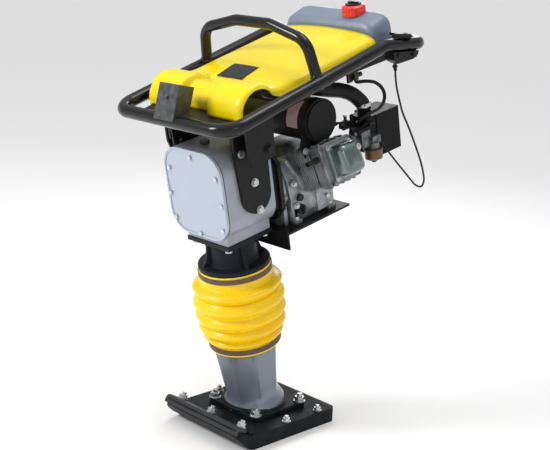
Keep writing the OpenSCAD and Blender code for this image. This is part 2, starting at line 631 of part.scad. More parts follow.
module lifting_hoop() color([0.05, 0.05, 0.06]) lean() difference() {
    pipe([for (q = hoop_pts) [q.x, hoop_foot.y, q.y]], hoop_r, 20);
    rail_core(tube_r);
    mirror([1, 0, 0]) rail_core(tube_r);
}
// the space that the front tube fills
module bumper_core(r) translate([-rail_x, front_v, 0]) rotate([0, 90, 0]) cylinder(h = 2*rail_x, r = r);
module mount_yoke() color([0.06, 0.06, 0.07]) lean() difference() {
    union() {
        along_x(-150, 150) polygon([[-126, rail_s(-126) - 15], [54, rail_s(54) - 15], [54, rail_s(54) - 10],
            [-126, rail_s(-126) - 10]]);
        along_x(-195, 195) polygon([[-36, rail_s(-36) - 15], [34, rail_s(34) - 15], [34, rail_s(34) - 10],
            [-36, rail_s(-36) - 10]]);
        for (k = [-1, 1]) along_x(min(k*144, k*150), max(k*144, k*150)) polygon([[-36, 758], [-30, 738], [16, 738],
            [46, 745], [50, rail_s(50) - 12], [-36, rail_s(-36) - 12]]);
    }
    rail_core(tube_r);
    mirror([1, 0, 0]) rail_core(tube_r);
    frame_plane() bumper_core(tube_r);
    disc_x(mount_y, mount_s, -160, 160, 6);
}
module rubber_mounts() color([0.1, 0.1, 0.1]) lean() for (k = [-1, 1]) {
    disc_x(mount_y, mount_s, min(k*118, k*144), max(k*118, k*144), 21);
    disc_x(mount_y, mount_s, min(k*112.3, k*118), max(k*112.3, k*118), 12);
    translate([k*150, mount_y, mount_s]) rotate([0, k*90, 0]) bolt(5.9, 7, 6);
}
module front_bracket() color([0.6, 0.61, 0.62]) lean() difference() {
    along_x(-35, 35) polygon([[-142, 868], [-113, 943], [-74, 926], [-95, 878]]);
    along_x(-32, 32) polygon([[-140, 860], [-110.5, 939], [-70, 922], [-90, 860]]);
    frame_plane() bumper_core(tube_r + 0.02);
}

// ---- hood ----
roll = [2, 863];
hood_t = 4;
module hood_outer() polygon(concat([for (a = [184:-8:40]) roll + roll_r*[cos(a), sin(a)]],
    [[62, 907], [400, 937], [404, 930], [404, 914], [193, 892], [69, 880], [66, 862]]));
module hood_inner() polygon(concat([[-70, 840], [roll.x - roll_r + hood_t, 850]],
    [for (a = [180:-8:40]) roll + (roll_r - hood_t)*[cos(a), sin(a)]],
    [[62, 902.5], [399, 932.5], [400, 840]]));
notch_hw = 48;
lug_x = rail_x - tube_r - 0.1;
module hood() color([0.93, 0.76, 0.1]) lean() {
    difference() {
        along_x(-hood_hw, hood_hw) hood_outer();
        along_x(-hood_hw + hood_t, hood_hw - hood_t) hood_inner();
        disc_x(roll.x + 3, roll.y - 2, -200, 200, 53);
        box(-notch_hw, notch_hw, -80, -42, 840, 930);
    }
    box(-notch_hw, notch_hw, -42, -38, 864, 908);
    for (k = [-1, 1], y = [110, 330]) box(min(k*(hood_hw - 2), k*lug_x), max(k*(hood_hw - 2), k*lug_x), y, y + 24,
        rail_s(y) - 2, rail_s(y) + 2);
}

// ---- tank ----
module tank_side() polygon([[406, 914], [406, 955], [414, 967], [466, 980], [479, 970], [484, 902], [408, 902]]);
module tank_end(inset) polygon([[-tank_hw + inset, 850 + inset], [tank_hw - inset, 850 + inset], [tank_hw - inset, 930],
    [118 - inset, 977 - inset], [100, 985 - inset], [-100, 985 - inset], [-118 + inset, 977 - inset], [-tank_hw + inset, 930]]);
cap_pos = [60, 445];
neck_s = 972;
module fuel_tank() color([0.42, 0.46, 0.53]) lean() difference() {
    union() {
        intersection() {
            along_x(-tank_hw, tank_hw) tank_side();
            along_y(380, 500) tank_end(0);
        }
        box(-tank_hw, tank_hw, 300, 462, 862, 902.5);
        for (k = [-1, 1]) box(min(k*148, k*lug_x), max(k*148, k*lug_x), 424, 446, rear_s(435) - 2, rear_s(435) + 2);
        translate([cap_pos.x, cap_pos.y, 950]) cylinder(h = 22, r = 24);
    }
    box(-tank_hw + 4, tank_hw - 4, 304, 458, 866, 899);
    translate([0, 0, -4]) intersection() {
        along_x(-tank_hw + 4, tank_hw - 4) offset(-4) tank_side();
        along_y(380, 500) tank_end(4);
    }
    translate([cap_pos.x, cap_pos.y, 940]) cylinder(h = 60, r = 19);
    translate([cap_pos.x, cap_pos.y, neck_s]) cylinder(h = 30, r = 31);
}
module tank_cap() color([0.85, 0.08, 0.05]) lean() translate([cap_pos.x, cap_pos.y, 0]) {
    difference() {
        disc_s(972.3, 998, 30);
        disc_s(972, 990, 25);
    }
    disc_s(998, 1003, 22);
    box(-17, 17, -4, 4, 1002, 1006);
}
module fuel_cock() color([0.5, 0.45, 0.3]) lean() {
    translate([114, 372, 0]) disc_s(830, 862, 8);
    disc_y(114, 840, 364, 392, 6);
    box(104, 110, 350, 366, 826, 850);
}
module throttle_lever() color([0.07, 0.07, 0.08]) lean() translate([rail_x, 462, rear_s(462)])
    rotate([-atan(rear_slope), 0, 0]) translate([0, 0, tube_r + 0.4]) {
    cylinder(h = 10, r = 17);
    translate([-12, -34, 2]) cube([24, 40, 10]);
    translate([-46, -8, 3]) cube([40, 14, 6]);
}
cable_pts = [[190, 436, 845], [190, 435, 832], [190, 435, 818], [191, 436, 795], [193, 440, 765], [194, 446, 735],
    [197, 458, 700], [199, 470, 664], [201, 482, 625], [202, 493, 588], [200, 502, 554], [196, 507, 530], [189, 503, 514],
    [183, 488, 522], [179, 474, 542], [175, 455, 571], [171, 432, 605], [167, 408, 642], [165, 392, 668], [164, 381, 682], [164, 375, 689]];
module throttle_cable() color([0.05, 0.05, 0.05]) lean() swept(smooth(cable_pts, 3), 2.5, 8);

shoe_core();
sole_plate();
toe_bar();
toe_bolts();
edge_bolts();
leg_casting();
flange_studs();
spring_cylinder();
lower_spring();
upper_spring();
spring_cap();
lower_clamp();
guide_cylinder();
guide_bolts();
bellows();
upper_clamp();
gearbox_housing();
gearbox_gasket();
gearbox_cover();
cover_screws();
breather_plug();
side_brackets();
bracket_bolts();
crank_gear();
piston_rod();
conrod();
drive_pinion();
engine_shaft();
clutch_housing();
engine_deck();
crankcase();
crankcase_cover();
cylinder_block();
valve_cover();
spark_plug();
oil_caps();
muffler();
muffler_band();
carburettor();
choke_lever();
air_box();
intake_hose();
fuel_hose();
recoil_cover();
recoil_grip();
stop_switch();
left_rail();
right_rail();
front_bumper();
rear_handle();
lifting_hoop();
mount_yoke();
rubber_mounts();
front_bracket();
hood();
fuel_tank();
tank_cap();
fuel_cock();
throttle_lever();
throttle_cable();
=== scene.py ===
import json
import math
import bmesh
import bpy
from mathutils import Matrix, Vector


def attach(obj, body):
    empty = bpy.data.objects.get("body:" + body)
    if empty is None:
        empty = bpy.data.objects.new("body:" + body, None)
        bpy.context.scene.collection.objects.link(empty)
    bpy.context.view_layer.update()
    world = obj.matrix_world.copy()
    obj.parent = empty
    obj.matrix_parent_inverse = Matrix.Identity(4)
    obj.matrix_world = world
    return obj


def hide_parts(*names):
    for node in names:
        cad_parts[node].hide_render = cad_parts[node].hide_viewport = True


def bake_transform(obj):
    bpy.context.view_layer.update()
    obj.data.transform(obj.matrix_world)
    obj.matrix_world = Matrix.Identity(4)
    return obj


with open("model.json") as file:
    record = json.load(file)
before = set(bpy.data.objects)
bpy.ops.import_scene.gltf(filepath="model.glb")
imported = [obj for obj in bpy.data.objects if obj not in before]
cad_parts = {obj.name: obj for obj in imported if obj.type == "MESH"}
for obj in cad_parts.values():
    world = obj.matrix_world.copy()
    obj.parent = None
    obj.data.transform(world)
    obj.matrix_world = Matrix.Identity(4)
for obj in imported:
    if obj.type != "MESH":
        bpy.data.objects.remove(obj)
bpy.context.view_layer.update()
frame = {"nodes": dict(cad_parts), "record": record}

# ---------------------------------------------------------------- the leg's frame
# Most pieces are drawn upright in millimetres in the leg's own frame (x, y, height along the
# leg), as in part.scad, and placed in the row frame by LEAN.
MM = 0.001
LEAN_DEG = 12.5
FOOT_Y = 22.5
LEAN = (Matrix.Scale(MM, 4) @ Matrix.Translation((0, FOOT_Y, 0))
        @ Matrix.Rotation(math.radians(LEAN_DEG), 4, "X"))
UPRIGHT = Matrix.Scale(MM, 4)
RAIL_X, TUBE_R, HOOP_R = 203, 16, 13.5
SHAFT_S = 616
RAIL_SLOPE, REAR_SLOPE = 0.115, 0.2
CYL_LEAN = 18.6


def rail_s(y):
    """Height along the leg of the front rails' centre line."""
    return 866 + (y + 77)*RAIL_SLOPE


def rear_s(y):
    """Height along the leg of the rear handle's centre line."""
    return 921 - (y - 385)*REAR_SLOPE


# ---------------------------------------------------------------- materials
FINE_GRAIN = 900  # noise scale of the fine surface bump


def material(name, color, rough, metal=0.0, vary=0.04, scale=40.0, bump=0.05, coat=0.0,
             second=None, shine=0.5):
    """Principled finish whose colour and roughness wander with noise, with a fine bump."""
    mat = bpy.data.materials.new(name)
    mat.use_nodes = True
    nodes, links = mat.node_tree.nodes, mat.node_tree.links
    bsdf = nodes["Principled BSDF"]
    bsdf.inputs["Metallic"].default_value = metal
    bsdf.inputs["Coat Weight"].default_value = coat
    bsdf.inputs["Specular IOR Level"].default_value = shine
    coords = nodes.new("ShaderNodeTexCoord")
    noise = nodes.new("ShaderNodeTexNoise")
    noise.inputs["Scale"].default_value = scale
    noise.inputs["Detail"].default_value = 6
    links.new(coords.outputs["Object"], noise.inputs["Vector"])
    ramp = nodes.new("ShaderNodeValToRGB")
    ramp.color_ramp.elements[0].position = 0.35
    ramp.color_ramp.elements[1].position = 0.65
    dark = second or [c*(1 - vary*2) for c in color]
    ramp.color_ramp.elements[0].color = (*dark, 1)
    ramp.color_ramp.elements[1].color = (*color, 1)
    links.new(noise.outputs["Fac"], ramp.inputs["Fac"])
    links.new(ramp.outputs["Color"], bsdf.inputs["Base Color"])
    spread = nodes.new("ShaderNodeMapRange")
    spread.inputs["To Min"].default_value = max(0.02, rough - 0.08)
    spread.inputs["To Max"].default_value = min(1.0, rough + 0.08)
    links.new(noise.outputs["Fac"], spread.inputs["Value"])
    links.new(spread.outputs["Result"], bsdf.inputs["Roughness"])
    fine = nodes.new("ShaderNodeTexNoise")
    fine.inputs["Scale"].default_value = FINE_GRAIN
    links.new(coords.outputs["Object"], fine.inputs["Vector"])
    relief = nodes.new("ShaderNodeBump")
    relief.inputs["Strength"].default_value = bump
    relief.inputs["Distance"].default_value = 0.001
    links.new(fine.outputs["Fac"], relief.inputs["Height"])
    links.new(relief.outputs["Normal"], bsdf.inputs["Normal"])
    return mat


MATS = {
    "shoe_black": material("moulded shoe", (0.007, 0.008, 0.01), 0.42, bump=0.25, scale=25,
                           second=(0.014, 0.015, 0.017), shine=0.07),
    "sole_steel": material("sole steel", (0.05, 0.05, 0.055), 0.5, 0.4, bump=0.2),
    "bar_black": material("bar enamel", (0.035, 0.036, 0.04), 0.42, bump=0.1, shine=0.22),
    "zinc": material("zinc plate", (0.62, 0.63, 0.64), 0.3, 0.9, vary=0.1, scale=120),
    "leg_grey": material("leg enamel", (0.22, 0.255, 0.3), 0.3, 0.4, vary=0.05, scale=9, bump=0.08, coat=0.1),
    "steel": material("ground steel", (0.5, 0.51, 0.53), 0.28, 1.0),
    "spring_steel": material("spring steel", (0.2, 0.23, 0.3), 0.35, 0.8),
    "band": material("clamp band", (0.12, 0.075, 0.035), 0.5, 0.1, second=(0.06, 0.05, 0.04), scale=90),
    "guide_slate": material("guide slate", (0.012, 0.015, 0.02), 0.42, 0.0, bump=0.2, shine=0.12),
    "bellows_yellow": material("bellows yellow", (0.96, 0.62, 0.0), 0.27,
                               vary=0.02, scale=12, bump=0.03, shine=0.5),
    "gear_case": material("case enamel", (0.34, 0.37, 0.41), 0.34, 0.2, bump=0.25, scale=15),
    "gasket": material("gasket", (0.02, 0.02, 0.02), 0.7, shine=0.22),
    "cover_grey": material("cover enamel", (0.42, 0.47, 0.55), 0.36, 0.1, vary=0.02, scale=8, bump=0.12),
    "screw_dark": material("black oxide", (0.035, 0.037, 0.045), 0.35, 0.3),
    "bracket_black": material("bracket black", (0.008, 0.008, 0.009), 0.36, bump=0.12, shine=0.22),
    "gear_steel": material("gear steel", (0.3, 0.31, 0.33), 0.35, 0.9),
    "engine_cast": material("engine casting", (0.42, 0.44, 0.47), 0.3, 0.75, vary=0.25, scale=45, bump=0.5),
    "valve_steel": material("valve cover", (0.2, 0.25, 0.24), 0.2, 0.8, vary=0.08, scale=18),
    "boot_rubber": material("boot rubber", (0.012, 0.012, 0.013), 0.45, shine=0.3),
    "cap_black": material("black plastic", (0.01, 0.01, 0.011), 0.4, bump=0.15, shine=0.2),
    "muffler_black": material("muffler black", (0.009, 0.009, 0.01), 0.36, 0.1, bump=0.15, shine=0.16),
    "heat_band": material("pale band", (0.45, 0.3, 0.33), 0.5, vary=0.08, scale=60),
    "carb_metal": material("die cast", (0.2, 0.21, 0.22), 0.32, 0.75, vary=0.3, scale=60, bump=0.3),
    "bowl_bronze": material("float bowl", (0.16, 0.085, 0.03), 0.35, 0.6, vary=0.15, scale=50),
    "airbox_black": material("air box black", (0.006, 0.006, 0.007), 0.42, bump=0.25, shine=0.12),
    "hose_black": material("hose black", (0.008, 0.008, 0.009), 0.42, bump=0.1, shine=0.22),
    "switch_black": material("switch black", (0.012, 0.012, 0.013), 0.4, shine=0.3),
    "tube_black": material("tube gloss black", (0.006, 0.006, 0.007), 0.2, bump=0.04, shine=0.35),
    "rubber": material("mount rubber", (0.02, 0.02, 0.021), 0.6, bump=0.2, shine=0.22),
    "galvanised": material("galvanised", (0.1, 0.105, 0.11), 0.36, 0.7, vary=0.2, scale=70),
    "hood_yellow": material("hood yellow", (0.85, 0.66, 0.0), 0.27,
                            vary=0.02, scale=10, bump=0.02, coat=0.15, shine=0.4),
    "tank_blue_grey": material("tank grey", (0.17, 0.215, 0.29), 0.4, vary=0.04, scale=14, bump=0.1),
    "cap_red": material("cap red", (0.78, 0.025, 0.01), 0.28, coat=0.3),
    "cock_metal": material("cock metal", (0.05, 0.04, 0.03), 0.35, 0.6),
}
SLOT_OF = {p["node"]: p["material_slot"] for p in frame["record"]["subparts"]}
for node, obj in frame["nodes"].items():
    obj.data.materials.clear()
    obj.data.materials.append(MATS[SLOT_OF[node]])
# bevel in mm on the frame's own nodes that stay visible
SOFT_EDGES = {
    "gearbox_housing": 3.5, "gearbox_cover": 1.2, "side_brackets": 0.8, "clutch_housing": 1.5,
    "engine_deck": 0.6,
    "mount_yoke": 0.8, "air_box": 3.0, "carburettor": 1.5, "muffler": 1.5, "recoil_cover": 3.0,
    "choke_lever": 0.6, "crankcase_cover": 1.5}
for node, width in SOFT_EDGES.items():
    edge = frame["nodes"][node].modifiers.new("edges", "BEVEL")
    edge.width = width*MM
    edge.segments = 3
    edge.limit_method = "ANGLE"
    edge.angle_limit = math.radians(35)


# ---------------------------------------------------------------- building pieces
def finish_mesh(bm, name, mat, body, nodes=(), place=LEAN, bevel=0.0, sharp=38):
    """Turns a drawn mesh into a piece: placed, shaded, bevelled, riding on its body."""
    bmesh.ops.recalc_face_normals(bm, faces=bm.faces)
    mesh = bpy.data.meshes.new(name)
    bm.to_mesh(mesh)
    bm.free()
    mesh.transform(place)
    mesh.shade_smooth()
    mesh.set_sharp_from_angle(angle=math.radians(sharp))
    obj = bpy.data.objects.new(name, mesh)
    bpy.context.collection.objects.link(obj)
    mesh.materials.append(MATS[mat])
    if bevel:
        mod = obj.modifiers.new("edges", "BEVEL")
        mod.width = bevel*MM
        mod.segments = 2
        mod.limit_method = "ANGLE"
        mod.angle_limit = math.radians(40)
    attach(obj, body)
    if nodes:
        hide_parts(*nodes)
    return obj


def add_box(bm, x0, x1, y0, y1, s0, s1, turn=None):
    made = bmesh.ops.create_cube(bm, size=1)["verts"]
    for v in made:
        v.co = Vector(((x0 + x1)/2 + v.co.x*(x1 - x0), (y0 + y1)/2 + v.co.y*(y1 - y0),
                       (s0 + s1)/2 + v.co.z*(s1 - s0)))
        if turn:
            v.co = turn @ v.co
    return made


def axis_frame(p, q):
    """Matrix that carries +Z onto the line p to q, with its origin at p."""
    p, q = Vector(p), Vector(q)
    return Matrix.Translation(p) @ Vector((0, 0, 1)).rotation_difference(q - p).to_matrix().to_4x4()


def add_turned(bm, p, q, profile, n=32, turn=None, hollow=False):
    """A solid of revolution about p to q; profile is (distance from p, radius) points. A hollow
    one has a profile that comes back down its bore and joins its own start."""
    frame_at = axis_frame(p, q)
    if turn:
        frame_at = turn @ frame_at
    rings = []
    for d, r in profile:
        ring = [Vector((r*math.cos(2*math.pi*k/n), r*math.sin(2*math.pi*k/n), d)) for k in range(n)]
        rings.append([bm.verts.new(frame_at @ v) for v in ring])
    for a, b in zip(rings, rings[1:] + rings[:1] if hollow else rings[1:]):
        for k in range(n):
            bm.faces.new((a[k], a[(k + 1) % n], b[(k + 1) % n], b[k]))
    if not hollow:
        bm.faces.new(rings[0][::-1])
        bm.faces.new(rings[-1])


def add_rod(bm, p, q, r, n=24, turn=None):
    add_turned(bm, p, q, [(0, r), ((Vector(q) - Vector(p)).length, r)], n, turn)


def add_bolt(bm, p, out, r=5, head=5, washer=1.6, n=6, turn=None):
    """A hexagon head on a washer standing on p, pointing along out."""
    p, out = Vector(p), Vector(out).normalized()
    top = p + out*washer
    add_turned(bm, p, p + out, [(0, r*2.1), (washer*0.8, r*2.1), (washer, r*1.95)], 24, turn)
    add_turned(bm, top, top + out, [(0, r*1.75), (head*0.8, r*1.75), (head, r*1.5)], n, turn)


def add_prism(bm, outline, a, b, plane, turn=None):
    """Extrudes a closed outline. plane 'y' reads it as (x, s), 'x' as (y, s), 's' as (x, y)."""
    def put(p, d):
        v = {"y": Vector((p[0], d, p[1])), "x": Vector((d, p[0], p[1])), "s": Vector((p[0], p[1], d))}[plane]
        return turn @ v if turn else v
    low = [bm.verts.new(put(p, a)) for p in outline]
    high = [bm.verts.new(put(p, b)) for p in outline]
    bm.faces.new(low)
    bm.faces.new(high[::-1])
    n = len(outline)
    for k in range(n):
        bm.faces.new((low[k], high[k], high[(k + 1) % n], low[(k + 1) % n]))


def smooth_path(points, per=6):
    """Catmull-Rom curve through the given points."""
    pts = [Vector(p) for p in points]
    out = []
    for i in range(len(pts) - 1):
        a, b, c, d = pts[max(i - 1, 0)], pts[i], pts[i + 1], pts[min(i + 2, len(pts) - 1)]
        for j in range(per):
            t = j/per
            out.append(0.5*(2*b + (c - a)*t + (2*a - 5*b + 4*c - d)*t*t + (3*b - a - 3*c + d)*t**3))
    out.append(pts[-1])
    return out


def rounded_path(points, radius, steps=8, closed=False):
    """Corners of a polyline replaced by arcs of the given bend radius."""
    pts = [Vector(p) for p in points]
    n = len(pts)
    out = []
    for i in range(n):
        if not closed and i in (0, n - 1):
            out.append(pts[i])
            continue
        before, here, after = pts[i - 1], pts[i], pts[(i + 1) % n]
        u, v = (before - here).normalized(), (after - here).normalized()
        half = u.angle(v)/2
        cut = min(radius/math.tan(half), 0.49*(before - here).length, 0.49*(after - here).length)
        centre = here + (u + v).normalized()*(cut/math.cos(half))
        start, end = here + u*cut - centre, here + v*cut - centre
        sweep = start.angle(end)
        for k in range(steps + 1):
            t = k/steps
            out.append(centre + (start*math.sin((1 - t)*sweep) + end*math.sin(t*sweep))/math.sin(sweep))
    return out


def add_tube(bm, path, r, n=20, closed=False):
    """A round tube along a path, with rings carried square to it without twist."""
    path = [Vector(p) for p in path]
    m = len(path)

    def heading(i):
        if closed:
            return (path[(i + 1) % m] - path[i - 1]).normalized()
        return (path[min(i + 1, m - 1)] - path[max(i - 1, 0)]).normalized()
    side = heading(0).orthogonal().normalized()
    rings = []
    for i in range(m):
        t = heading(i)
        side = (side - t*side.dot(t)).normalized()
        up = t.cross(side)
        rings.append([bm.verts.new(path[i] + r*(side*math.cos(2*math.pi*k/n) + up*math.sin(2*math.pi*k/n)))
                      for k in range(n)])
    pairs = list(zip(rings, rings[1:]))
    if closed:
        best = min(range(n), key=lambda k: (rings[0][k].co - rings[-1][0].co).length)
        pairs.append((rings[-1], [rings[0][(best + k) % n] for k in range(n)]))
    for a, b in pairs:
        for k in range(n):
            bm.faces.new((a[k], a[(k + 1) % n], b[(k + 1) % n], b[k]))
    if not closed:
        bm.faces.new(rings[0][::-1])
        bm.faces.new(rings[-1])


def arc2(cx, cy, r, a0, a1, steps=8):
    return [(cx + r*math.cos(math.radians(a0 + (a1 - a0)*i/steps)),
             cy + r*math.sin(math.radians(a0 + (a1 - a0)*i/steps))) for i in range(steps + 1)]


def rounded_box(bm, lo, hi, r, turn=None, steps=4):
    """A box whose edges along s are arcs of radius r."""
    outline = (arc2(hi[0] - r, lo[1] + r, r, -90, 0, steps) + arc2(hi[0] - r, hi[1] - r, r, 0, 90, steps)
               + arc2(lo[0] + r, hi[1] - r, r, 90, 180, steps)
               + arc2(lo[0] + r, lo[1] + r, r, 180, 270, steps))
    add_prism(bm, outline, lo[2], hi[2], "s", turn)


CYL = (Matrix.Translation((0, 0, SHAFT_S)) @ Matrix.Rotation(math.radians(90 - CYL_LEAN), 4, "Y"))


# ---------------------------------------------------------------- handle frame
def frame_tube():
    """The closed loop of tube: bumper, rails and rear handle, bent once on each side."""
    front_y, back_y = -131, 545
    bend_y = (rear_s(0) - rail_s(0))/(RAIL_SLOPE + REAR_SLOPE)
    corners = [(RAIL_X, front_y, rail_s(front_y)), (RAIL_X, bend_y, rail_s(bend_y)),
               (RAIL_X, back_y, rear_s(back_y))]
    loop = corners + [(-x, y, s) for x, y, s in corners[::-1]]
    sharp = rounded_path(loop, 52, 9, closed=True)
    bm = bmesh.new()
    add_tube(bm, sharp, TUBE_R, 28, closed=True)
    return finish_mesh(bm, "frame_tube", "tube_black", "handle",
                       ["left_rail", "right_rail", "front_bumper", "rear_handle"])


def throttle_box():
    """Control housing hung under the right rail, with its two clamp bolts."""
    bm = bmesh.new()
    for y0, y1, drop, hw in ((406, 500, 30, 15), (412, 494, 34, 12)):
        x0, x1 = RAIL_X - hw - 2, RAIL_X + hw - 2
        outline = [(y0, rear_s(y0) - 16), (y1, rear_s(y1) - 16), (y1 - 4, rear_s(y1) - drop + 6),
                   (y1 - 12, rear_s(y1) - drop), (y0 + 10, rear_s(y0) - drop - 14),
                   (y0, rear_s(y0) - drop - 6)]
        add_prism(bm, outline, x0, x1, "x")
    for y in (424, 478):
        add_bolt(bm, (RAIL_X + 13, y, rear_s(y) - 24), (1, 0, 0), 3.4, 3.5, 1)
    add_tube(bm, [(190, 436, 862), (190, 436, 852), (190, 436, 845)], 4.5, 14)
    add_rod(bm, (190, 436, 858), (190, 436, 853), 7, 6)
    return finish_mesh(bm, "throttle_box", "bracket_black", "handle", bevel=1.2)


def throttle_handle():
    """Turning lever on top of the right rail."""
    bm = bmesh.new()
    tilt = (Matrix.Translation((RAIL_X, 462, rear_s(462)))
            @ Matrix.Rotation(-math.atan(REAR_SLOPE), 4, "X") @ Matrix.Translation((0, 0, TUBE_R + 0.4)))
    add_turned(bm, (0, 0, 0), (0, 0, 1), [(0, 17), (7, 17), (10, 14)], 32, tilt)
    add_turned(bm, (0, 0, 10), (0, 0, 11), [(0, 6), (2, 6)], 6, tilt)
    rounded_box(bm, (-11, -34, 2), (11, 4, 11), 8, tilt)
    rounded_box(bm, (-46, -8, 3), (-6, 6, 9), 5, tilt)
    return finish_mesh(bm, "throttle_handle", "cap_black", "throttle", ["throttle_lever"], bevel=0.8)


def hoop():
    """Lifting hoop welded upright between the rails."""
    side = [(194, 161, rail_s(161) + 9), (177, 155, 990)]
    bm = bmesh.new()
    mirrored = [(-x, y, s) for x, y, s in side[::-1]]
    path = rounded_path(side + [(60, 159, 1018), (-60, 159, 1018)] + mirrored, 46, 9)
    add_tube(bm, path, HOOP_R, 24)
    for k in (-1, 1):
        add_turned(bm, (k*195, 161.4, rail_s(161) + 10), (k*191.6, 160.4, rail_s(161) + 26),
                   [(0, HOOP_R + 3.4), (4, HOOP_R + 2.4), (8, HOOP_R)], 24)
    return finish_mesh(bm, "hoop_tube", "tube_black", "handle", ["lifting_hoop"])


def nose_bracket():
    """Folded galvanised sheet clamped over the bumper tube."""
    bm = bmesh.new()
    side = [(-148, 866), (-113, 943), (-72, 926), (-95, 876)]
    inner = [(-144.5, 866), (-111, 938), (-75.5, 923), (-98, 876)]
    for x0, x1 in ((-35, -32), (32, 35)):
        add_prism(bm, side, x0, x1, "x")
    for a, b in ((0, 1), (1, 2), (2, 3)):
        add_prism(bm, [side[a], side[b], inner[b], inner[a]], -34, 34, "x")
    add_bolt(bm, (0, -126, 915), (0, -0.9, 0.4), 3, 3, 1)
    return finish_mesh(bm, "nose_bracket", "galvanised", "handle", ["front_bracket"], bevel=1.0)


# ---------------------------------------------------------------- hood
HOOD_HW, ROLL_Y, ROLL_S, ROLL_R = 165, 2, 863, 64


def crown(x, y):
    """The hood's skin rises to a soft crown along its middle and falls at its side edges."""
    t = min(1.0, max(0.0, (y - 30)/90))
    edge = max(0.0, (abs(x) - 128)/37)
    return t*(12*(1 - (x/HOOD_HW)**2)) - 9*edge**2*min(1.0, max(0.0, (y - 40)/60))


def hood_skin(x, inner=0.0):
    """One cross-section of the hood at x as (y, s) points from the front lip to the rear edge."""
    drum = min(1.0, max(0.0, (abs(x) - 46)/10))
    drum = drum*drum*(3 - 2*drum)
    r = ROLL_R - inner - 5*max(0.0, (abs(x) - 152)/13)**2
    points = []
    for i in range(23):
        a = math.radians(184 - i*6.4)
        y, s = ROLL_Y + r*math.cos(a), ROLL_S + r*math.sin(a)
        flat_y, flat_s = -40 + (y + 62)*0.75, min(s, 866 + (s - 858)*0.66)
        points.append((flat_y + (y - flat_y)*drum, flat_s + (s - flat_s)*drum))
    start = points[-1]
    for i in range(1, 29):
        t = i/28
        y = start[0] + (400 - start[0])*t
        base = 903 + (y - 57)*0.0962 - inner
        settle = min(1.0, (y - start[0])/34)
        settle = settle*settle*(3 - 2*settle)
        points.append((y, start[1] + (base - start[1])*settle + crown(x, y)))
    return points


def hood_bottom(y):
    """Height of the hood's lower side edge."""
    return 880 + (y - 69)*0.0985


def hood():
    """Yellow hood: two open drums at the front that run into one crowned top."""
    bm = bmesh.new()
    xs = ([-HOOD_HW, -164.2, -162, -158] + [-152 + 8*i for i in range(12)] + [-57, -54, -51, -48.5, -46]
          + [-40 + 10*i for i in range(9)] + [46, 48.5, 51, 54, 57] + [64 + 8*i for i in range(12)]
          + [158, 162, 164.2, HOOD_HW])
    grid = []
    for x in xs:
        near = max(0.0, 1 - (HOOD_HW - abs(x))/7)
        drop = 6*near**2
        grid.append([bm.verts.new((x, y, s - drop)) for y, s in hood_skin(x)])
    for a, b in zip(grid, grid[1:]):
        for k in range(len(a) - 1):
            bm.faces.new((a[k], a[k + 1], b[k + 1], b[k]))
    # side walls: an arch over the open drum end, then a band down to the bottom edge
    for side, rail in ((-1, grid[0]), (1, grid[-1])):
        lower = []
        for v in rail:
            y, s = v.co.y, v.co.z
            dy, ds = y - ROLL_Y, s - ROLL_S
            dist = math.hypot(dy, ds)
            if y < 60:
                f = 53/max(dist, 1)
                lower.append(bm.verts.new((side*HOOD_HW, ROLL_Y + dy*f, ROLL_S + ds*f)))
            else:
                lower.append(bm.verts.new((side*HOOD_HW, y, min(s - 4, hood_bottom(y)))))
        for k in range(len(rail) - 1):
            bm.faces.new((rail[k], rail[k + 1], lower[k + 1], lower[k]))
    obj = finish_mesh(bm, "hood_shell", "hood_yellow", "handle", ["hood"], sharp=55)
    wall = obj.modifiers.new("wall", "SOLIDIFY")
    wall.thickness = 4*MM
    wall.offset = -1
    return obj


def hood_plate():
    """Plain dark plate on the hood's crown."""
    bm = bmesh.new()
    for hw, hd, z in ((44, 30.5, 0), (41, 27.5, 0.6)):
        rows = []
        for i in range(9):
            x = -hw + 2*hw*i/8
            rows.append([bm.verts.new((x, y, 903 + (y - 57)*0.0962 + crown(x, y) + 0.8 + z)) for y in
                         [92 + hd*(j/3 - 1) for j in range(7)]])
        for a, b in zip(rows, rows[1:]):
            for k in range(6):
                bm.faces.new((a[k], b[k], b[k + 1], a[k + 1]))
    return finish_mesh(bm, "hood_plate", "screw_dark", "handle")


